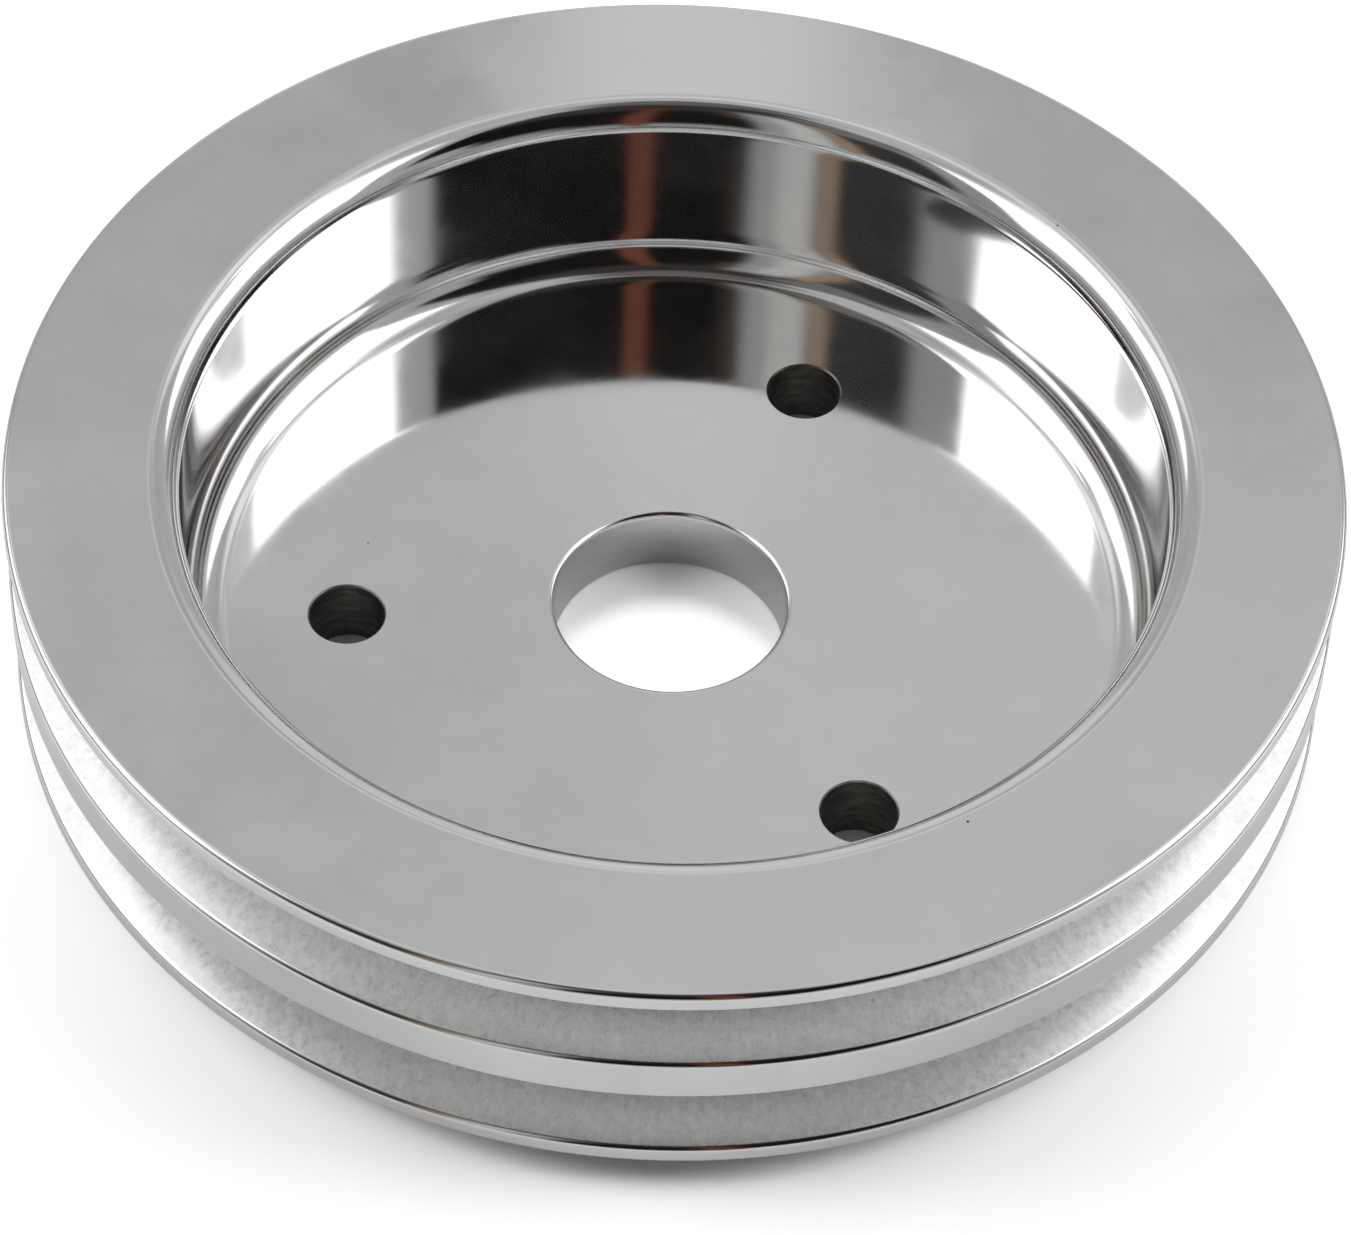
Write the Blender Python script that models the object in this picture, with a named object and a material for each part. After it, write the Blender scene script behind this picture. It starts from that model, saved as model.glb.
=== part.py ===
"""A double-groove crankshaft pulley for an engine's accessory drive, turned from one aluminium billet.

The whole pulley is one solid of revolution about +Z: a deep cup with a flat web at its bottom, and a thick rim
with two V grooves round its outside. The web has a centre bore that goes over the crankshaft's pilot, and three
plain bolt holes. The origin is on the axis at the rear face, where the pulley seats, and +Z points to the front.
"""

from math import cos, pi, radians, sin, tan

import bmesh
import bpy
from mathutils import Matrix, Vector

# Driving dimensions, in metres and degrees.
OUTER_RADIUS = 0.0889
RIM_WIDTH = 0.0348
GROOVE_COUNT = 2
GROOVE_WIDTH = 0.0113
GROOVE_DEPTH = 0.0125
GROOVE_ANGLE = 36.0
MIDDLE_LAND = 0.0066
CUP_RADIUS = 0.0658
CUP_DEPTH = 0.0287
WEB_THICKNESS = 0.0105
HUB_RADIUS = 0.0580
BORE_RADIUS = 0.015875
BOLT_COUNT = 3
BOLT_CIRCLE_RADIUS = 0.0441
BOLT_HOLE_RADIUS = 0.00515
FIRST_BOLT_ANGLE = 66.4

# Roundings.
LIP_ROUND = 0.0042
CUP_FILLET = 0.0056
LAND_ROUND = 0.0008
GROOVE_ROOT_ROUND = 0.0006
BORE_ROUND = 0.0007
HUB_ROUND = 0.0010
BOLT_HOLE_CHAMFER = 0.0002

# How finely the round shapes are divided.
TURN_STEPS = 96
LARGE_ARC_STEPS = 6
SMALL_ARC_STEPS = 2
BOLT_HOLE_SIDES = 32
CUT_MARGIN = 0.002

FRONT_Z = CUP_DEPTH + WEB_THICKNESS
RIM_REAR_Z = FRONT_Z - RIM_WIDTH


def clear_scene():
    for item in list(bpy.data.objects):
        bpy.data.objects.remove(item, do_unlink=True)


def aluminium():
    """Polished aluminium, as the whole pulley is."""
    material = bpy.data.materials.new("polished_aluminium")
    material.use_nodes = True
    shader = material.node_tree.nodes["Principled BSDF"]
    shader.inputs["Base Color"].default_value = (0.80, 0.81, 0.82, 1.0)
    shader.inputs["Metallic"].default_value = 1.0
    shader.inputs["Roughness"].default_value = 0.18
    return material


def rounded(corners):
    """The closed outline through (radius, height, rounding, steps) corners, each one rounded by a tangent arc."""
    outline = []
    for index, (x, z, rounding, steps) in enumerate(corners):
        corner = Vector((x, z))
        before = (Vector(corners[index - 1][:2]) - corner).normalized()
        after = (Vector(corners[(index + 1) % len(corners)][:2]) - corner).normalized()
        half_angle = before.angle(after) / 2
        centre = corner + (before + after).normalized() * rounding / sin(half_angle)
        start = corner + before * rounding / tan(half_angle) - centre
        turn = start.angle_signed(corner + after * rounding / tan(half_angle) - centre)
        outline += [centre + Matrix.Rotation(-turn * step / steps, 2) @ start for step in range(steps + 1)]
    return outline


def groove_corners():
    """The corners of the V grooves and of the lands between them, from the rear groove to the front one."""
    pitch = GROOVE_WIDTH + MIDDLE_LAND
    middle = RIM_REAR_Z + RIM_WIDTH / 2
    root = OUTER_RADIUS - GROOVE_DEPTH
    half_root = GROOVE_WIDTH / 2 - GROOVE_DEPTH * tan(radians(GROOVE_ANGLE / 2))
    corners = []
    for index in range(GROOVE_COUNT):
        centre = middle + (index - (GROOVE_COUNT - 1) / 2) * pitch
        corners += [
            (OUTER_RADIUS, centre - GROOVE_WIDTH / 2, LAND_ROUND, SMALL_ARC_STEPS),
            (root, centre - half_root, GROOVE_ROOT_ROUND, 1),
            (root, centre + half_root, GROOVE_ROOT_ROUND, 1),
            (OUTER_RADIUS, centre + GROOVE_WIDTH / 2, LAND_ROUND, SMALL_ARC_STEPS),
        ]
    return corners


def pulley_outline():
    """Half of the pulley's cross-section, counter-clockwise from the bore's rear edge."""
    return rounded(
        [
            (BORE_RADIUS, 0.0, LAND_ROUND, 1),
            (HUB_RADIUS, 0.0, HUB_ROUND, SMALL_ARC_STEPS),
            (HUB_RADIUS, RIM_REAR_Z, HUB_ROUND, SMALL_ARC_STEPS),
            (OUTER_RADIUS, RIM_REAR_Z, LAND_ROUND, SMALL_ARC_STEPS),
            *groove_corners(),
            (OUTER_RADIUS, FRONT_Z, LAND_ROUND, SMALL_ARC_STEPS),
            (CUP_RADIUS, FRONT_Z, LIP_ROUND, LARGE_ARC_STEPS),
            (CUP_RADIUS, WEB_THICKNESS, CUP_FILLET, LARGE_ARC_STEPS),
            (BORE_RADIUS, WEB_THICKNESS, BORE_ROUND, SMALL_ARC_STEPS),
        ]
    )


def turned(name, outline, steps):
    """An object whose closed (radius, height) outline is spun all the way round the Z axis."""
    work = bmesh.new()
    points = [work.verts.new((point.x, 0.0, point.y)) for point in outline]
    edges = [work.edges.new((points[i - 1], points[i])) for i in range(len(points))]
    bmesh.ops.spin(
        work,
        geom=points + edges,
        cent=(0.0, 0.0, 0.0),
        axis=(0.0, 0.0, 1.0),
        angle=2 * pi,
        steps=steps,
        use_merge=True,
    )
    bmesh.ops.recalc_face_normals(work, faces=work.faces[:])
    mesh = bpy.data.meshes.new(name)
    work.to_mesh(mesh)
    work.free()
    item = bpy.data.objects.new(name, mesh)
    bpy.context.scene.collection.objects.link(item)
    return item


def bolt_hole_cutter(index):
    """A drill with a flare at each face of the web, which takes the sharp edge off the hole."""
    flare = BOLT_HOLE_RADIUS + BOLT_HOLE_CHAMFER + CUT_MARGIN
    rear = -CUT_MARGIN
    front = WEB_THICKNESS + CUT_MARGIN
    sections = [
        (flare, rear),
        (BOLT_HOLE_RADIUS, rear + flare - BOLT_HOLE_RADIUS),
        (BOLT_HOLE_RADIUS, front - flare + BOLT_HOLE_RADIUS),
        (flare, front),
    ]
    work = bmesh.new()
    rings = []
    for radius, z in sections:
        turns = [2 * pi * side / BOLT_HOLE_SIDES for side in range(BOLT_HOLE_SIDES)]
        rings.append([work.verts.new((radius * cos(turn), radius * sin(turn), z)) for turn in turns])
    for lower, upper in zip(rings, rings[1:]):
        for side in range(BOLT_HOLE_SIDES):
            after = (side + 1) % BOLT_HOLE_SIDES
            work.faces.new((lower[side], lower[after], upper[after], upper[side]))
    work.faces.new(rings[0][::-1])
    work.faces.new(rings[-1])
    mesh = bpy.data.meshes.new(f"bolt_hole_cutter_{index + 1}")
    work.to_mesh(mesh)
    work.free()
    cutter = bpy.data.objects.new(mesh.name, mesh)
    bpy.context.scene.collection.objects.link(cutter)
    angle = radians(FIRST_BOLT_ANGLE + 360.0 * index / BOLT_COUNT)
    cutter.location = (BOLT_CIRCLE_RADIUS * cos(angle), BOLT_CIRCLE_RADIUS * sin(angle), 0.0)
    cutter.hide_render = True
    cutter.display_type = "WIRE"
    return cutter


def crank_pulley():
    """The turned pulley with its three bolt holes cut through the web."""
    pulley = turned("crank_pulley", pulley_outline(), TURN_STEPS)
    pulley.data.materials.append(aluminium())
    pulley.data.shade_smooth()
    pulley.data.set_sharp_from_angle(angle=radians(30.0))
    for index in range(BOLT_COUNT):
        cut = pulley.modifiers.new(f"bolt_hole_{index + 1}", "BOOLEAN")
        cut.operation = "DIFFERENCE"
        cut.solver = "EXACT"
        cut.object = bolt_hole_cutter(index)
    return pulley


clear_scene()
crank_pulley()
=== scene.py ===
"""A double-groove crankshaft pulley, turned from one aluminium billet and polished by hand.

It stands on a white paper sweep between two large white panels, in an otherwise dark studio. Metres, +Z up.
The pulley's axis is the Z axis, its rear face seats at z = 0 and its polished cup opens upwards.
"""

from math import pi, radians, sin, tan

import bpy
from mathutils import Matrix, Vector


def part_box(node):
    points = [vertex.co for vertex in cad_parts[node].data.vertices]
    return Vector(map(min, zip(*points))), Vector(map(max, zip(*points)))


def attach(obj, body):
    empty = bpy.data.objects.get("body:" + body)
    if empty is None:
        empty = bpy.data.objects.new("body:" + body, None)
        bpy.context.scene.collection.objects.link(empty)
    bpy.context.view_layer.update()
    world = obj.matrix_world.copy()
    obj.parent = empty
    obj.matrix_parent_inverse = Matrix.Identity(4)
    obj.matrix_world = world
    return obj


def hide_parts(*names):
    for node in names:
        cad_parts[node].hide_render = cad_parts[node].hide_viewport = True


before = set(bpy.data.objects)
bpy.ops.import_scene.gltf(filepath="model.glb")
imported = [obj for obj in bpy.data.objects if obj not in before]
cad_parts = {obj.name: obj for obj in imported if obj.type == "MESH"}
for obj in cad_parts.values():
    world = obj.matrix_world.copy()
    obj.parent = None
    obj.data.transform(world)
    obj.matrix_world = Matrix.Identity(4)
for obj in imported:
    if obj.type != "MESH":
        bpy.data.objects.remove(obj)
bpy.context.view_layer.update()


# --------------------------------------------------------------------------------------------------
# crank_pulley: the whole pulley, one solid of revolution. It is turned from a billet in a lathe, with both
# V grooves cut by a form tool, and is bored and drilled for three bolts. Its front, cup and lands are then
# buffed, and the groove flanks, the rear and the insides of the holes stay as they were cut.

PULLEY = "crank_pulley"
pulley_low, pulley_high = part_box(PULLEY)
OUTER_RADIUS = (pulley_high.x - pulley_low.x) / 2
FRONT_Z = pulley_high.z
REAR_Z = pulley_low.z

RIM_WIDTH = 0.0348
GROOVE_COUNT = 2
GROOVE_WIDTH = 0.0113
GROOVE_DEPTH = 0.0125
GROOVE_ANGLE = 36.0
MIDDLE_LAND = 0.0066
CUP_RADIUS = 0.0658
WEB_THICKNESS = 0.0105
HUB_RADIUS = 0.0580
BORE_RADIUS = 0.015875
BOLT_COUNT = 3
BOLT_CIRCLE_RADIUS = 0.0441
BOLT_HOLE_RADIUS = 0.00515
FIRST_BOLT_ANGLE = 66.4

LIP_ROUND = 0.0042
CUP_FILLET = 0.0056
LAND_ROUND = 0.0008
GROOVE_ROOT_ROUND = 0.0006
BORE_ROUND = 0.0007
HUB_ROUND = 0.0010
BOLT_HOLE_CHAMFER = 0.0002

TURN_STEPS = 320
BOLT_HOLE_SIDES = 96
RUN_OUT = 0.00015
CUT_MARGIN = 0.002
FLATNESS = 0.0000001
CRISP_EDGE = 30.0
RIM_REAR_Z = FRONT_Z - RIM_WIDTH


def rounded(corners):
    """The closed outline through (radius, height, rounding, arc steps, finish) corners, as marked points.

    Each corner is rounded by a tangent arc, with one more point just past each end of the arc, so that the
    straight runs stay exactly straight under smooth shading. A corner's finish is that of the run after it.
    """
    points = []
    for index, (radius, height, rounding, steps, finish) in enumerate(corners):
        corner = Vector((radius, height))
        before = (Vector(corners[index - 1][:2]) - corner).normalized()
        after = (Vector(corners[(index + 1) % len(corners)][:2]) - corner).normalized()
        half_angle = before.angle(after) / 2
        reach = rounding / tan(half_angle)
        centre = corner + (before + after).normalized() * rounding / sin(half_angle)
        start = corner + before * reach - centre
        turn = start.angle_signed(corner + after * reach - centre)
        points.append((corner + before * (reach + RUN_OUT), {corners[index - 1][4]}))
        for step in range(steps + 1):
            ends = {corners[index - 1][4]} if step == 0 else {finish} if step == steps else set()
            points.append((centre + Matrix.Rotation(-turn * step / steps, 2) @ start, ends))
        points.append((corner + after * (reach + RUN_OUT), {finish}))
    return points


def groove_corners():
    """The corners of the V grooves and of the lands between them, from the rear groove to the front one."""
    pitch = GROOVE_WIDTH + MIDDLE_LAND
    middle = RIM_REAR_Z + RIM_WIDTH / 2
    root = OUTER_RADIUS - GROOVE_DEPTH
    half_root = GROOVE_WIDTH / 2 - GROOVE_DEPTH * tan(radians(GROOVE_ANGLE / 2))
    corners = []
    for index in range(GROOVE_COUNT):
        centre = middle + (index - (GROOVE_COUNT - 1) / 2) * pitch
        corners += [
            (OUTER_RADIUS, centre - GROOVE_WIDTH / 2, LAND_ROUND, 8, "form_cut"),
            (root, centre - half_root, GROOVE_ROOT_ROUND, 4, "form_cut"),
            (root, centre + half_root, GROOVE_ROOT_ROUND, 4, "form_cut"),
            (OUTER_RADIUS, centre + GROOVE_WIDTH / 2, LAND_ROUND, 8, "buffed"),
        ]
    return corners


outline = rounded(
    [
        (BORE_RADIUS, REAR_Z, LAND_ROUND, 6, "faced"),
        (HUB_RADIUS, REAR_Z, HUB_ROUND, 6, "faced"),
        (HUB_RADIUS, RIM_REAR_Z, HUB_ROUND, 6, "faced"),
        (OUTER_RADIUS, RIM_REAR_Z, LAND_ROUND, 8, "buffed"),
        *groove_corners(),
        (OUTER_RADIUS, FRONT_Z, LAND_ROUND, 8, "buffed"),
        (CUP_RADIUS, FRONT_Z, LIP_ROUND, 24, "buffed"),
        (CUP_RADIUS, WEB_THICKNESS, CUP_FILLET, 24, "buffed"),
        (BORE_RADIUS, WEB_THICKNESS, BORE_ROUND, 8, "bored"),
    ]
)

profile_mesh = bpy.data.meshes.new("pulley_profile")
profile_mesh.from_pydata(
    [(point.x, point.y, 0.0) for point, _ in outline],
    [(index - 1, index) for index in range(1, len(outline))] + [(len(outline) - 1, 0)],
    [],
)
for finish in ("form_cut", "faced", "bored"):
    marked = profile_mesh.attributes.new(finish, "BOOLEAN", "POINT")
    marked.data.foreach_set("value", [finish in finishes for _, finishes in outline])


def add_node(tree, kind, inputs=None, **settings):
    """Adds a node with its settings. Each input is a value, or an output of another node to link from."""
    node = tree.nodes.new(kind)
    for name, value in settings.items():
        setattr(node, name, value)
    for key, value in (inputs or {}).items():
        if isinstance(value, bpy.types.NodeSocket):
            tree.links.new(value, node.inputs[key])
        else:
            node.inputs[key].default_value = value
    return node


# A Mix node's colour sockets share their names with its number sockets, so they are taken by place.
MIX_A = 6
MIX_B = 7
MIX_RESULT = 2


def colour(hex_code):
    """The linear colour of an sRGB hex code."""
    channels = [int(hex_code[start:start + 2], 16) / 255 for start in (1, 3, 5)]
    return (*(c / 12.92 if c <= 0.04045 else ((c + 0.055) / 1.055) ** 2.4 for c in channels), 1.0)


def metal_material(name):
    """A new material with an empty tree but for its shader and its output, and its Object coordinates."""
    material = bpy.data.materials.new(name)
    material.use_nodes = True
    tree = material.node_tree
    tree.nodes.clear()
    shader = add_node(tree, "ShaderNodeBsdfPrincipled", {"Metallic": 1.0})
    add_node(tree, "ShaderNodeOutputMaterial", {"Surface": shader.outputs["BSDF"]})
    place = add_node(tree, "ShaderNodeTexCoord").outputs["Object"]
    return material, tree, shader, place


def lathe_coordinates(tree, place, radial, axial, around):
    """Object coordinates as a lathe sees them: out from the axis, up along it, and a pair round it.

    The first two are in metres times their factors. The pair is a circle of the radius around, and goes to a
    noise texture's Vector Z and W, where it closes on itself without a seam. The smaller that circle is, the
    further each mark runs round.
    """
    axes = add_node(tree, "ShaderNodeSeparateXYZ", {"Vector": place})
    flat = add_node(tree, "ShaderNodeVectorMath", {0: place, 1: (1.0, 1.0, 0.0)}, operation="MULTIPLY")
    radius = add_node(tree, "ShaderNodeVectorMath", {0: flat.outputs["Vector"]}, operation="LENGTH")
    bearing = add_node(tree, "ShaderNodeVectorMath", {0: flat.outputs["Vector"]}, operation="NORMALIZE")
    turn = add_node(
        tree, "ShaderNodeVectorMath", {0: bearing.outputs["Vector"], 1: (around,) * 3}, operation="MULTIPLY"
    )
    turn_axes = add_node(tree, "ShaderNodeSeparateXYZ", {"Vector": turn.outputs["Vector"]})
    out = add_node(tree, "ShaderNodeMath", {0: radius.outputs["Value"], 1: radial}, operation="MULTIPLY")
    up = add_node(tree, "ShaderNodeMath", {0: axes.outputs["Z"], 1: axial}, operation="MULTIPLY")
    vector = add_node(
        tree,
        "ShaderNodeCombineXYZ",
        {"X": out.outputs["Value"], "Y": up.outputs["Value"], "Z": turn_axes.outputs["X"]},
    )
    return vector.outputs["Vector"], turn_axes.outputs["Y"]


# Buffed aluminium: brought up with cutting compound and a soft wheel, so it mirrors the studio, with a slight
# haze that comes and goes in clouds, hairlines round the axis where the last turning marks were, and a few
# pinholes, painted dark as painted shade inside them. The haze, tone and gloss ranges here and below are
# spread over the usual range of a noise.
CLOUD = 0.020
CLOUD_TONES = ("#eaebec", "#f5f5f4")
HAZE = (0.05, 0.13)
HAIRLINE = 0.0004
HAIRLINE_HEIGHT = 0.0000001
SWELL = 0.014
SWELL_HEIGHT = 0.000004
PIT_SPACING = 0.018
PIT_RADIUS = 0.00022
PIT_FLOOR = 0.7
# The pinholes' tone is painted shade, the dark inside each of them.
PIT_SHADE_TONE = "#3a3836"
PIT_HAZE = 0.5
USUAL_NOISE = {"From Min": 0.3, "From Max": 0.7}
RING = 0.004

buffed, tree, shader, place = metal_material("buffed_aluminium")
clouds = add_node(
    tree, "ShaderNodeTexNoise", {"Vector": place, "Scale": 1 / CLOUD, "Detail": 5.0, "Roughness": 0.6}
)
haze = add_node(
    tree,
    "ShaderNodeMapRange",
    {"Value": clouds.outputs["Fac"], **USUAL_NOISE, "To Min": HAZE[0], "To Max": HAZE[1]},
)
lathe_place, lathe_w = lathe_coordinates(tree, place, 1.0, 1.0, RING)
hairlines = add_node(
    tree,
    "ShaderNodeTexNoise",
    {"Vector": lathe_place, "W": lathe_w, "Scale": 1 / HAIRLINE, "Detail": 3.0, "Roughness": 0.6},
    noise_dimensions="4D",
)
tone = add_node(tree, "ShaderNodeMapRange", {"Value": clouds.outputs["Fac"], **USUAL_NOISE})
cloudy = add_node(
    tree,
    "ShaderNodeMix",
    {"Factor": tone.outputs["Result"], MIX_A: colour(CLOUD_TONES[0]), MIX_B: colour(CLOUD_TONES[1])},
    data_type="RGBA",
)
pit_places = add_node(tree, "ShaderNodeTexVoronoi", {"Vector": place, "Scale": 1 / PIT_SPACING})
pinhole_and_shade = add_node(
    tree,
    "ShaderNodeMapRange",
    {
        "Value": pit_places.outputs["Distance"],
        "From Min": PIT_FLOOR * PIT_RADIUS / PIT_SPACING,
        "From Max": PIT_RADIUS / PIT_SPACING,
        "To Min": 1.0,
        "To Max": 0.0,
    },
)
# Each pinhole is painted the dark pit tone, as painted shade inside it, and is hazier.
pit_shaded_colour = add_node(
    tree,
    "ShaderNodeMix",
    {"Factor": pinhole_and_shade.outputs["Result"], MIX_A: cloudy.outputs[MIX_RESULT], MIX_B: colour(PIT_SHADE_TONE)},
    data_type="RGBA",
)
pit_haze = add_node(
    tree,
    "ShaderNodeMath",
    {0: pinhole_and_shade.outputs["Result"], 1: PIT_HAZE, 2: haze.outputs["Result"]},
    operation="MULTIPLY_ADD",
)
tree.links.new(pit_shaded_colour.outputs[MIX_RESULT], shader.inputs["Base Color"])
tree.links.new(pit_haze.outputs["Value"], shader.inputs["Roughness"])
swell = add_node(tree, "ShaderNodeTexNoise", {"Vector": place, "Scale": 1 / SWELL, "Detail": 1.0})
swelling = add_node(
    tree, "ShaderNodeBump", {"Strength": 1.0, "Distance": SWELL_HEIGHT, "Height": swell.outputs["Fac"]}
)
hairline_bump = add_node(
    tree,
    "ShaderNodeBump",
    {
        "Strength": 1.0,
        "Distance": HAIRLINE_HEIGHT,
        "Height": hairlines.outputs["Fac"],
        "Normal": swelling.outputs["Normal"],
    },
)
tree.links.new(hairline_bump.outputs["Normal"], shader.inputs["Normal"])


# The surfaces left as they were cut all show the tool's marks: a stretched grain that shifts the tone, the
# gloss and the height together.
def cut_material(name, grain, stretch, tones, gloss, height):
    """Aluminium as a tool left it. Stretch holds the factors outwards and upwards, and the radius around."""
    material, tree, shader, place = metal_material(name)
    lathe_place, lathe_w = lathe_coordinates(tree, place, *stretch)
    marks = add_node(
        tree,
        "ShaderNodeTexNoise",
        {"Vector": lathe_place, "W": lathe_w, "Scale": 1 / grain, "Detail": 4.0, "Roughness": 0.65},
        noise_dimensions="4D",
    )
    spread = add_node(tree, "ShaderNodeMapRange", {"Value": marks.outputs["Fac"], **USUAL_NOISE})
    shade = add_node(
        tree,
        "ShaderNodeMix",
        {"Factor": spread.outputs["Result"], MIX_A: colour(tones[0]), MIX_B: colour(tones[1])},
        data_type="RGBA",
    )
    satin = add_node(
        tree,
        "ShaderNodeMapRange",
        {"Value": marks.outputs["Fac"], **USUAL_NOISE, "To Min": gloss[0], "To Max": gloss[1]},
    )
    ridges = add_node(
        tree, "ShaderNodeBump", {"Strength": 1.0, "Distance": height, "Height": marks.outputs["Fac"]}
    )
    tree.links.new(shade.outputs[MIX_RESULT], shader.inputs["Base Color"])
    tree.links.new(satin.outputs["Result"], shader.inputs["Roughness"])
    tree.links.new(ridges.outputs["Normal"], shader.inputs["Normal"])
    return material


# Form-cut aluminium, in the grooves: the form tool chatters, so the flanks are satin and mottled in short
# marks about a millimetre apart, a little longer across the cut than along it.
form_cut = cut_material(
    "form_cut_aluminium",
    grain=0.0010,
    stretch=(0.8, 0.8, OUTER_RADIUS),
    tones=("#d6d6d6", "#f9f9f8"),
    gloss=(0.24, 0.34),
    height=0.000001,
)
# Faced aluminium, at the rear: the facing tool's feed leaves fine rings. They are drawn 0.4 mm apart, about
# three times as coarse as the feed, so that they show.
faced = cut_material(
    "faced_aluminium",
    grain=0.0004,
    stretch=(1.0, 1.0, RING),
    tones=("#cfd0d1", "#ebebeb"),
    gloss=(0.24, 0.36),
    height=0.000002,
)
# Bored aluminium: a fine finishing cut, so the bore is smoother than the rear, with faint rings up its wall.
bored = cut_material(
    "bored_aluminium",
    grain=0.0005,
    stretch=(1.0, 1.0, RING),
    tones=("#e2e2e3", "#f2f2f1"),
    gloss=(0.17, 0.25),
    height=0.000001,
)
# Drilled aluminium, in the bolt holes: the twist drill tears a little, so the walls are dull, with rough
# rings.
# Their tones are painted dark, as painted shade deep down the narrow holes.
drilled_and_shaded = cut_material(
    "drilled_and_shaded_aluminium",
    grain=0.0007,
    stretch=(0.25, 1.0, 0.25 * BOLT_CIRCLE_RADIUS),
    tones=("#6c6967", "#b6b3af"),
    gloss=(0.34, 0.50),
    height=0.00002,
)

# The lathe and the drill, as one Geometry Nodes tree. The profile is swept round a circle at the rim, whose
# own radius is taken off the profile first, and the drills stand in a ring and are cut from the web.
lathe = bpy.data.node_groups.new("turn_and_drill", "GeometryNodeTree")
sizes = {
    "Turn Steps": TURN_STEPS,
    "Outer Radius": OUTER_RADIUS,
    "Web Thickness": WEB_THICKNESS,
    "Bolt Count": BOLT_COUNT,
    "Bolt Circle Radius": BOLT_CIRCLE_RADIUS,
    "Bolt Hole Radius": BOLT_HOLE_RADIUS,
    "Bolt Hole Chamfer": BOLT_HOLE_CHAMFER,
    "First Bolt Angle": radians(FIRST_BOLT_ANGLE),
}
lathe.interface.new_socket("Profile", in_out="INPUT", socket_type="NodeSocketGeometry")
for name, size in sizes.items():
    kind = "NodeSocketInt" if isinstance(size, int) else "NodeSocketFloat"
    lathe.interface.new_socket(name, in_out="INPUT", socket_type=kind)
lathe.interface.new_socket("Pulley", in_out="OUTPUT", socket_type="NodeSocketGeometry")
given = add_node(lathe, "NodeGroupInput").outputs

# Swept clockwise, the profile's own X axis points inwards and its Y axis downwards, so the profile is first
# turned by half a turn about the rim.
rim_circle = add_node(
    lathe,
    "GeometryNodeCurvePrimitiveCircle",
    {"Resolution": given["Turn Steps"], "Radius": given["Outer Radius"]},
    mode="RADIUS",
)
clockwise = add_node(lathe, "GeometryNodeReverseCurve", {"Curve": rim_circle.outputs["Curve"]})
level = add_node(lathe, "GeometryNodeSetCurveNormal", {"Curve": clockwise.outputs["Curve"]}, mode="Z_UP")
at_rim = add_node(lathe, "ShaderNodeCombineXYZ", {"X": given["Outer Radius"]})
half_turned = add_node(
    lathe,
    "GeometryNodeTransform",
    {"Geometry": given["Profile"], "Translation": at_rim.outputs["Vector"], "Rotation": (0.0, 0.0, pi)},
)
profile_curve = add_node(lathe, "GeometryNodeMeshToCurve", {"Mesh": half_turned.outputs["Geometry"]})
blank = add_node(
    lathe,
    "GeometryNodeCurveToMesh",
    {"Curve": level.outputs["Curve"], "Profile Curve": profile_curve.outputs["Curve"]},
)

# Heights are rounded to a tenth of a micrometre, so that the faces are truly flat before they are drilled.
swept_place = add_node(lathe, "GeometryNodeInputPosition").outputs["Position"]
swept = add_node(lathe, "ShaderNodeSeparateXYZ", {"Vector": swept_place})
steps_up = add_node(lathe, "ShaderNodeMath", {0: swept.outputs["Z"], 1: 1 / FLATNESS}, operation="MULTIPLY")
whole_steps = add_node(lathe, "ShaderNodeMath", {0: steps_up.outputs["Value"]}, operation="ROUND")
flat_height = add_node(
    lathe, "ShaderNodeMath", {0: whole_steps.outputs["Value"], 1: FLATNESS}, operation="MULTIPLY"
)
flat_place = add_node(
    lathe,
    "ShaderNodeCombineXYZ",
    {"X": swept.outputs["X"], "Y": swept.outputs["Y"], "Z": flat_height.outputs["Value"]},
)
flat_blank = add_node(
    lathe,
    "GeometryNodeSetPosition",
    {"Geometry": blank.outputs["Mesh"], "Position": flat_place.outputs["Vector"]},
)

# Each finish's mark is moved from the profile's points to the faces between them, because a cut keeps only
# face marks.
marked_blank = add_node(
    lathe, "GeometryNodeSetMaterial", {"Geometry": flat_blank.outputs["Geometry"], "Material": buffed}
)
for finish in ("form_cut", "faced", "bored"):
    where = add_node(lathe, "GeometryNodeInputNamedAttribute", {"Name": finish}, data_type="BOOLEAN")
    marked_blank = add_node(
        lathe,
        "GeometryNodeStoreNamedAttribute",
        {
            "Geometry": marked_blank.outputs["Geometry"],
            "Name": finish,
            "Value": where.outputs["Attribute"],
        },
        data_type="BOOLEAN",
        domain="FACE",
    )

# The drill: a cylinder with two rings short of the web's faces, and its end rings moved out past each face at
# 45 degrees, as the countersinks that break the edges of its hole.
drill_blank = add_node(
    lathe,
    "GeometryNodeMeshCylinder",
    {"Vertices": BOLT_HOLE_SIDES, "Side Segments": 3, "Radius": 1.0, "Depth": 2.0},
)
ring_place = add_node(lathe, "GeometryNodeInputPosition").outputs["Position"]
ring_axes = add_node(lathe, "ShaderNodeSeparateXYZ", {"Vector": ring_place})
away = add_node(lathe, "ShaderNodeMath", {0: ring_axes.outputs["Z"]}, operation="ABSOLUTE")
at_end = add_node(lathe, "ShaderNodeMath", {0: away.outputs["Value"], 1: 0.5}, operation="GREATER_THAN")
sink = add_node(lathe, "ShaderNodeMath", {0: given["Bolt Hole Chamfer"], 1: CUT_MARGIN}, operation="ADD")
flare = add_node(
    lathe, "ShaderNodeMath", {0: at_end.outputs["Value"], 1: sink.outputs["Value"]}, operation="MULTIPLY"
)
ring_radius = add_node(
    lathe, "ShaderNodeMath", {0: given["Bolt Hole Radius"], 1: flare.outputs["Value"]}, operation="ADD"
)
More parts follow.
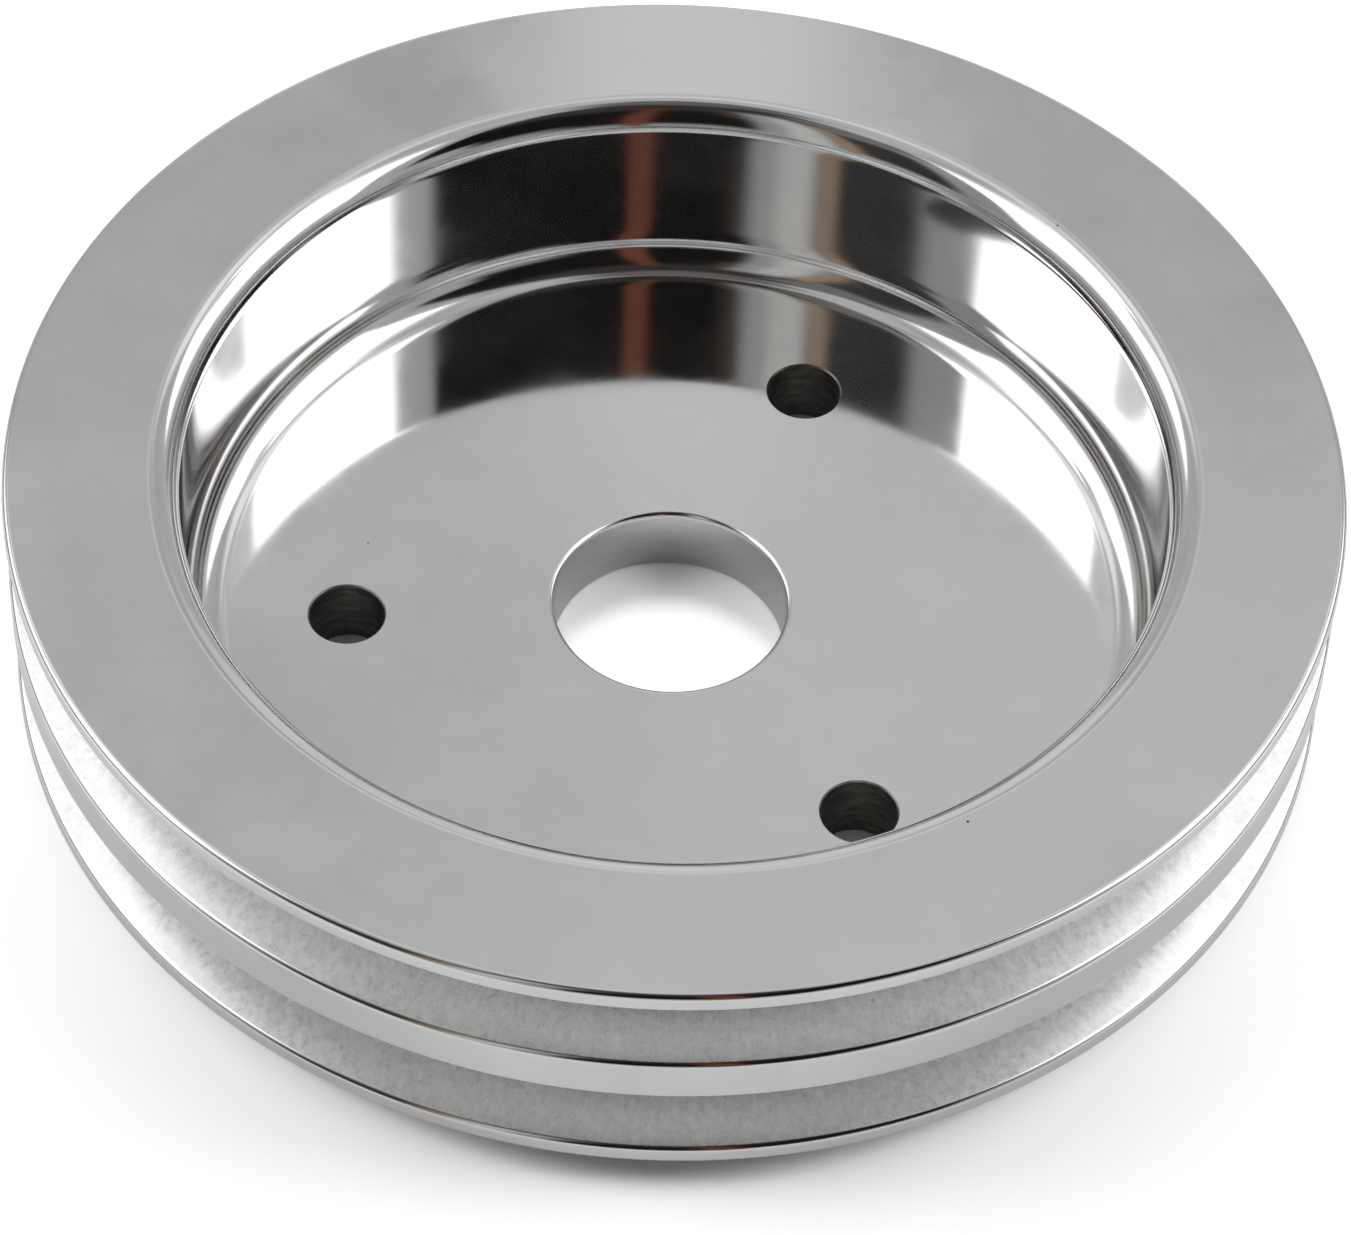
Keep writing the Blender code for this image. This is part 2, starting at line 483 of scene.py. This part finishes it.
half_web = add_node(lathe, "ShaderNodeMath", {0: given["Web Thickness"], 1: 0.5}, operation="MULTIPLY")
half_run = add_node(
    lathe,
    "ShaderNodeMath",
    {0: half_web.outputs["Value"], 1: given["Bolt Hole Chamfer"]},
    operation="SUBTRACT",
)
half_length = add_node(
    lathe, "ShaderNodeMath", {0: half_run.outputs["Value"], 1: flare.outputs["Value"]}, operation="ADD"
)
side = add_node(lathe, "ShaderNodeMath", {0: ring_axes.outputs["Z"]}, operation="SIGN")
ring_height = add_node(
    lathe,
    "ShaderNodeMath",
    {0: side.outputs["Value"], 1: half_length.outputs["Value"], 2: half_web.outputs["Value"]},
    operation="MULTIPLY_ADD",
)
ring_x = add_node(
    lathe,
    "ShaderNodeMath",
    {0: ring_axes.outputs["X"], 1: ring_radius.outputs["Value"]},
    operation="MULTIPLY",
)
ring_y = add_node(
    lathe,
    "ShaderNodeMath",
    {0: ring_axes.outputs["Y"], 1: ring_radius.outputs["Value"]},
    operation="MULTIPLY",
)
ring_point = add_node(
    lathe,
    "ShaderNodeCombineXYZ",
    {"X": ring_x.outputs["Value"], "Y": ring_y.outputs["Value"], "Z": ring_height.outputs["Value"]},
)
drill = add_node(
    lathe,
    "GeometryNodeSetPosition",
    {"Geometry": drill_blank.outputs["Mesh"], "Position": ring_point.outputs["Vector"]},
)
marked_tool = add_node(
    lathe,
    "GeometryNodeStoreNamedAttribute",
    {"Geometry": drill.outputs["Geometry"], "Name": "drilled_and_shaded", "Value": True},
    data_type="BOOLEAN",
    domain="FACE",
)
coloured_tool = add_node(
    lathe, "GeometryNodeSetMaterial", {"Geometry": marked_tool.outputs["Geometry"], "Material": drilled_and_shaded}
)

# The ring of drills, and the cut.
bolt_circle = add_node(
    lathe,
    "GeometryNodeMeshCircle",
    {"Vertices": given["Bolt Count"], "Radius": given["Bolt Circle Radius"]},
)
first_bolt = add_node(lathe, "ShaderNodeCombineXYZ", {"Z": given["First Bolt Angle"]})
turned_circle = add_node(
    lathe,
    "GeometryNodeTransform",
    {"Geometry": bolt_circle.outputs["Mesh"], "Rotation": first_bolt.outputs["Vector"]},
)
drills = add_node(
    lathe,
    "GeometryNodeInstanceOnPoints",
    {"Points": turned_circle.outputs["Geometry"], "Instance": coloured_tool.outputs["Geometry"]},
)
solid_drills = add_node(lathe, "GeometryNodeRealizeInstances", {"Geometry": drills.outputs["Instances"]})
cut = add_node(
    lathe,
    "GeometryNodeMeshBoolean",
    {"Mesh 1": marked_blank.outputs["Geometry"], "Mesh 2": solid_drills.outputs["Geometry"]},
    operation="DIFFERENCE",
    solver="EXACT",
)

# Round surfaces are smooth, and sharp edges stay crisp.
smooth = add_node(
    lathe,
    "GeometryNodeSetShadeSmooth",
    {"Geometry": cut.outputs["Mesh"], "Shade Smooth": True},
    domain="FACE",
)
edge_angle = add_node(lathe, "GeometryNodeInputMeshEdgeAngle")
blunt = add_node(
    lathe,
    "ShaderNodeMath",
    {0: edge_angle.outputs["Unsigned Angle"], 1: radians(CRISP_EDGE)},
    operation="LESS_THAN",
)
crisp = add_node(
    lathe,
    "GeometryNodeSetShadeSmooth",
    {"Geometry": smooth.outputs["Geometry"], "Shade Smooth": blunt.outputs["Value"]},
    domain="EDGE",
)
realized = add_node(lathe, "GeometryNodeRealizeInstances", {"Geometry": crisp.outputs["Geometry"]})
finished = add_node(
    lathe, "GeometryNodeSetMaterial", {"Geometry": realized.outputs["Geometry"], "Material": buffed}
)
for finish, material in {"form_cut": form_cut, "faced": faced, "bored": bored, "drilled_and_shaded": drilled_and_shaded}.items():
    where = add_node(lathe, "GeometryNodeInputNamedAttribute", {"Name": finish}, data_type="BOOLEAN")
    finished = add_node(
        lathe,
        "GeometryNodeSetMaterial",
        {
            "Geometry": finished.outputs["Geometry"],
            "Selection": where.outputs["Attribute"],
            "Material": material,
        },
    )
add_node(lathe, "NodeGroupOutput", {"Pulley": finished.outputs["Geometry"]})

turner = bpy.data.objects.new("pulley_turner", profile_mesh)
bpy.context.scene.collection.objects.link(turner)
turning = turner.modifiers.new("turn_and_drill", "NODES")
turning.node_group = lathe
for socket in lathe.interface.items_tree:
    if socket.in_out == "INPUT" and socket.name in sizes:
        turning[socket.identifier] = sizes[socket.name]
graph = bpy.context.evaluated_depsgraph_get()
pulley_mesh = bpy.data.meshes.new_from_object(turner.evaluated_get(graph), depsgraph=graph)
bpy.data.objects.remove(turner)
pulley = bpy.data.objects.new("turned_pulley", pulley_mesh)
bpy.context.scene.collection.objects.link(pulley)
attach(pulley, "root")
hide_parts(PULLEY)


# --------------------------------------------------------------------------------------------------
# White paper sweep: the table's cover, a roll of matt white paper. It is exposed over white, so that it shows
# plain white itself, and so far over it away from the pulley that it has no horizon. Its image in the metal,
# and the light that it throws on the metal, keep the paper's own lower tone.

SWEEP_SIZE = 12.0
PAPER_TONE = (0.66, 0.66, 0.66, 1.0)
EXPOSED_TONE = (1.28, 1.28, 1.28, 1.0)
BLOWN_OUT_TONE = (1.0, 1.0, 1.0, 1.0)
BLOWN_OUT_STRENGTH = 1.1
FADE_START = 1.7 * OUTER_RADIUS
FADE_END = 3.4 * OUTER_RADIUS

sweep_mesh = bpy.data.meshes.new("paper_sweep")
half_sweep = SWEEP_SIZE / 2
sweep_mesh.from_pydata(
    [(x, y, REAR_Z) for x, y in ((-1, -1), (1, -1), (1, 1), (-1, 1))],
    [],
    [(0, 1, 2, 3)],
)
sweep_mesh.transform(Matrix.Diagonal((half_sweep, half_sweep, 1.0, 1.0)))
sweep = bpy.data.objects.new("paper_sweep", sweep_mesh)
bpy.context.scene.collection.objects.link(sweep)

paper = bpy.data.materials.new("matt_paper")
paper.use_nodes = True
tree = paper.node_tree
tree.nodes.clear()
toned = add_node(tree, "ShaderNodeBsdfDiffuse", {"Color": PAPER_TONE})
overexposed = add_node(tree, "ShaderNodeBsdfDiffuse", {"Color": EXPOSED_TONE})
blown_out = add_node(
    tree, "ShaderNodeEmission", {"Color": BLOWN_OUT_TONE, "Strength": BLOWN_OUT_STRENGTH}
)
place = add_node(tree, "ShaderNodeTexCoord").outputs["Object"]
away = add_node(tree, "ShaderNodeVectorMath", {0: place}, operation="LENGTH")
far = add_node(
    tree,
    "ShaderNodeMapRange",
    {"Value": away.outputs["Value"], "From Min": FADE_START, "From Max": FADE_END},
    interpolation_type="SMOOTHSTEP",
)
exposed = add_node(
    tree,
    "ShaderNodeMixShader",
    {0: far.outputs["Result"], 1: overexposed.outputs["BSDF"], 2: blown_out.outputs["Emission"]},
)
ray = add_node(tree, "ShaderNodeLightPath")
seen = add_node(
    tree,
    "ShaderNodeMixShader",
    {0: ray.outputs["Is Camera Ray"], 1: toned.outputs["BSDF"], 2: exposed.outputs["Shader"]},
)
add_node(tree, "ShaderNodeOutputMaterial", {"Surface": seen.outputs["Shader"]})
sweep_mesh.materials.append(paper)


# --------------------------------------------------------------------------------------------------
# Studio: what stands round the table, which is all that polished metal shows. Each part is a soft-edged
# window of azimuth and elevation, in degrees: azimuth 0 is behind the camera, 90 to its right and 180 behind
# the pulley. The camera itself sees plain white behind the table.

studio = bpy.data.worlds.new("studio")
bpy.context.scene.world = studio
studio.use_nodes = True
tree = studio.node_tree
tree.nodes.clear()
direction = add_node(tree, "ShaderNodeTexCoord").outputs["Generated"]
axes = add_node(tree, "ShaderNodeSeparateXYZ", {"Vector": direction})
towards_camera = add_node(tree, "ShaderNodeMath", {0: 0.0, 1: axes.outputs["Y"]}, operation="SUBTRACT")
turn = add_node(
    tree, "ShaderNodeMath", {0: axes.outputs["X"], 1: towards_camera.outputs["Value"]}, operation="ARCTAN2"
)
azimuth = add_node(tree, "ShaderNodeMath", {0: turn.outputs["Value"]}, operation="DEGREES").outputs["Value"]
from_camera = add_node(tree, "ShaderNodeMath", {0: azimuth}, operation="ABSOLUTE").outputs["Value"]
climb = add_node(tree, "ShaderNodeMath", {0: axes.outputs["Z"]}, operation="ARCSINE").outputs["Value"]
elevation = add_node(tree, "ShaderNodeMath", {0: climb}, operation="DEGREES").outputs["Value"]


def window(value, low, high, softness):
    """A mask that is 1 from low to high and fades over the softness at both ends, centred on them."""
    rise = add_node(
        tree,
        "ShaderNodeMapRange",
        {"Value": value, "From Min": low - softness / 2, "From Max": low + softness / 2},
        interpolation_type="SMOOTHSTEP",
    )
    fall = add_node(
        tree,
        "ShaderNodeMapRange",
        {
            "Value": value,
            "From Min": high - softness / 2,
            "From Max": high + softness / 2,
            "To Min": 1.0,
            "To Max": 0.0,
        },
        interpolation_type="SMOOTHSTEP",
    )
    return add_node(
        tree, "ShaderNodeMath", {0: rise.outputs["Result"], 1: fall.outputs["Result"]}, operation="MULTIPLY"
    ).outputs["Value"]


STUDIO_BRIGHTNESS = 0.77
UNEVENNESS = 0.1
BLOTCH_DENSITY = 7.0
BLOTCH_STRETCH = (1.0, 1.0, 0.4)
DARK_ROOM = "#171717"
BACKDROP_STRENGTH = 1.1
ALL_ROUND = (-10.0, 400.0)
studio_parts = [
    # tone, strength, measured from, azimuths, softness, elevations, softness
    ("#3b3735", 1.0, from_camera, (-10.0, 62.0), 4.0, (62.0, 84.0), 14.0),
    ("#a6a6a6", 1.0, from_camera, (-10.0, 66.0), 4.0, (-10.0, 9.0), 16.0),
    ("#9c9c9c", 1.0, azimuth, (28.0, 64.0), 14.0, (-10.0, 20.0), 12.0),
    ("#b2b2b2", 1.0, azimuth, (47.0, 64.0), 8.0, (14.0, 31.0), 6.0),
    ("#bebebe", 1.0, from_camera, (137.0, 400.0), 5.0, (-10.0, 57.0), 10.0),
    ("#e2e2e2", 1.0, from_camera, (161.0, 400.0), 6.0, (5.0, 34.0), 8.0),
    ("#cccccc", 1.0, from_camera, (139.0, 400.0), 5.0, (46.0, 57.0), 4.0),
    ("#f2f2f2", 1.0, from_camera, (139.0, 400.0), 5.0, (57.0, 70.0), 12.0),
    ("#ffffff", 1.1, from_camera, (144.0, 166.0), 6.0, (47.0, 58.0), 4.0),
    ("#e8e8e8", 1.0, from_camera, (177.6, 400.0), 2.4, (20.0, 47.0), 5.0),
    ("#c6c6c6", 1.0, from_camera, (64.0, 400.0), 6.0, (68.0, 82.0), 8.0),
    ("#6e6a68", 1.0, from_camera, ALL_ROUND, 1.0, (82.0, 100.0), 8.0),
    ("#c2c2c2", 1.0, from_camera, (70.0, 139.0), 4.0, (8.0, 70.0), 10.0),
    ("#9e9e9e", 1.0, from_camera, (66.0, 139.0), 4.0, (-10.0, 8.0), 10.0),
    ("#b8b8b8", 1.0, azimuth, (62.0, 74.0), 3.0, (-10.0, 74.0), 12.0),
    ("#353638", 1.0, azimuth, (-62.0, -37.0), 4.0, (14.0, 53.0), 8.0),
    ("#7b7876", 1.0, azimuth, (-62.0, -36.0), 4.0, (53.0, 76.0), 8.0),
    ("#9c9c9c", 1.0, azimuth, (-73.0, -57.0), 7.0, (-10.0, 60.0), 12.0),
    ("#4c3c35", 1.0, azimuth, (-13.5, -8.5), 3.0, (46.0, 66.0), 8.0),
    ("#a0a09e", 1.0, azimuth, (-31.0, -14.0), 5.0, (-10.0, 68.0), 10.0),
    ("#c6c4c1", 1.0, azimuth, (-29.0, -20.5), 4.0, (-10.0, 62.0), 10.0),
    ("#704638", 1.0, azimuth, (8.5, 14.0), 2.5, (-10.0, 66.0), 12.0),
    ("#9c8876", 1.0, azimuth, (-35.5, -30.5), 3.0, (-10.0, 62.0), 12.0),
    ("#ffffff", 2.2, from_camera, (73.0, 137.0), 3.0, (23.0, 61.0), 11.0),
    ("#d8d8d8", 1.0, from_camera, (124.0, 144.0), 4.0, (45.0, 51.0), 3.0),
]
seen_tone = colour(DARK_ROOM)
for tone, strength, bearing, azimuths, side_softness, elevations, end_softness in studio_parts:
    mask = add_node(
        tree,
        "ShaderNodeMath",
        {0: window(bearing, *azimuths, side_softness), 1: window(elevation, *elevations, end_softness)},
        operation="MULTIPLY",
    )
    mixed = add_node(
        tree,
        "ShaderNodeMix",
        {
            "Factor": mask.outputs["Value"],
            MIX_A: seen_tone,
            MIX_B: tuple(strength * channel for channel in colour(tone)[:3]) + (1.0,),
        },
        data_type="RGBA",
    )
    seen_tone = mixed.outputs[MIX_RESULT]

# Nothing round the table is quite evenly lit, so the light is mottled a little, in upright blotches.
stretched = add_node(tree, "ShaderNodeVectorMath", {0: direction, 1: BLOTCH_STRETCH}, operation="MULTIPLY")
blotches = add_node(
    tree,
    "ShaderNodeTexNoise",
    {"Vector": stretched.outputs["Vector"], "Scale": BLOTCH_DENSITY, "Detail": 4.0},
)
brightness = add_node(
    tree,
    "ShaderNodeMapRange",
    {
        "Value": blotches.outputs["Fac"],
        **USUAL_NOISE,
        "To Min": (1 - UNEVENNESS) * STUDIO_BRIGHTNESS,
        "To Max": (1 + UNEVENNESS) * STUDIO_BRIGHTNESS,
    },
)
around = add_node(
    tree, "ShaderNodeBackground", {"Color": seen_tone, "Strength": brightness.outputs["Result"]}
)
plain_white = add_node(
    tree, "ShaderNodeBackground", {"Color": BLOWN_OUT_TONE, "Strength": BACKDROP_STRENGTH}
)
ray = add_node(tree, "ShaderNodeLightPath")
backdrop = add_node(
    tree,
    "ShaderNodeMixShader",
    {0: ray.outputs["Is Camera Ray"], 1: around.outputs["Background"], 2: plain_white.outputs["Background"]},
)
add_node(tree, "ShaderNodeOutputWorld", {"Surface": backdrop.outputs["Shader"]})


# --------------------------------------------------------------------------------------------------
# Fill lamps: one low on each side, close to the pulley, with a wide soft face. They lift the paper beside the
# rim and soften its shadow. They are hidden from the metal, so no highlight of theirs shows in it.

FILL_REACH = 0.34
FILL_FORWARD = 0.05
FILL_HEIGHT = 0.17
FILL_SIZE = 0.16
FILL_POWER = 0.7
for side in (-1, 1):
    lamp = bpy.data.lights.new("fill_lamp", "AREA")
    lamp.shape = "DISK"
    lamp.size = FILL_SIZE
    lamp.energy = FILL_POWER
    fill = bpy.data.objects.new("fill_lamp", lamp)
    bpy.context.scene.collection.objects.link(fill)
    fill.location = (side * FILL_REACH, -FILL_FORWARD, FILL_HEIGHT)
    fill.rotation_euler = Vector(fill.location).to_track_quat("Z", "Y").to_euler()
    fill.visible_glossy = False
    fill.visible_camera = False

# One more lamp hangs behind, shuttered down to the cup, and lights the paper at the bottom of the bore.
BORE_LAMP_REACH = 0.45
BORE_LAMP_TILT = 37.0
BORE_LAMP_SIZE = 0.09
BORE_LAMP_POWER = 4.5
BORE_LAMP_BEAM = 20.0
lamp = bpy.data.lights.new("bore_lamp", "SPOT")
lamp.energy = BORE_LAMP_POWER
lamp.shadow_soft_size = BORE_LAMP_SIZE
lamp.spot_size = radians(BORE_LAMP_BEAM)
bore_lamp = bpy.data.objects.new("bore_lamp", lamp)
bpy.context.scene.collection.objects.link(bore_lamp)
bore_lamp.matrix_world = (
    Matrix.Translation((0.0, 0.0, WEB_THICKNESS))
    @ Matrix.Rotation(radians(-BORE_LAMP_TILT), 4, "X")
    @ Matrix.Translation((0.0, 0.0, BORE_LAMP_REACH))
)
bore_lamp.visible_glossy = False
bore_lamp.visible_camera = False


# --------------------------------------------------------------------------------------------------
# Camera: a long lens from in front and above, tilted a little to its side.

VIEW_ELEVATION = 47.37
VIEW_DISTANCE = 7.742 * OUTER_RADIUS
AIM_RIGHT = 0.067
AIM_UP = 1.753
ROLL = -2.484
LENS = 138.457
SENSOR_WIDTH = 36.0
NEAREST = 0.01
FARTHEST = 50.0

from_rim = Matrix.Rotation(radians(90.0 - VIEW_ELEVATION), 4, "X")
aim = Matrix.Rotation(radians(ROLL), 4, "Z") @ Matrix.Rotation(radians(AIM_UP), 4, "X")
aim = aim @ Matrix.Rotation(radians(AIM_RIGHT), 4, "Y")
camera_data = bpy.data.cameras.new("camera")
camera_data.sensor_fit = "HORIZONTAL"
camera_data.sensor_width = SENSOR_WIDTH
camera_data.lens = LENS
camera_data.clip_start = NEAREST
camera_data.clip_end = FARTHEST
camera = bpy.data.objects.new("camera", camera_data)
bpy.context.scene.collection.objects.link(camera)
camera.matrix_world = (
    Matrix.Translation((0.0, 0.0, FRONT_Z))
    @ from_rim
    @ Matrix.Translation((0.0, 0.0, VIEW_DISTANCE))
    @ aim.transposed()
)
bpy.context.scene.camera = camera
bpy.context.scene.view_settings.view_transform = "Standard"
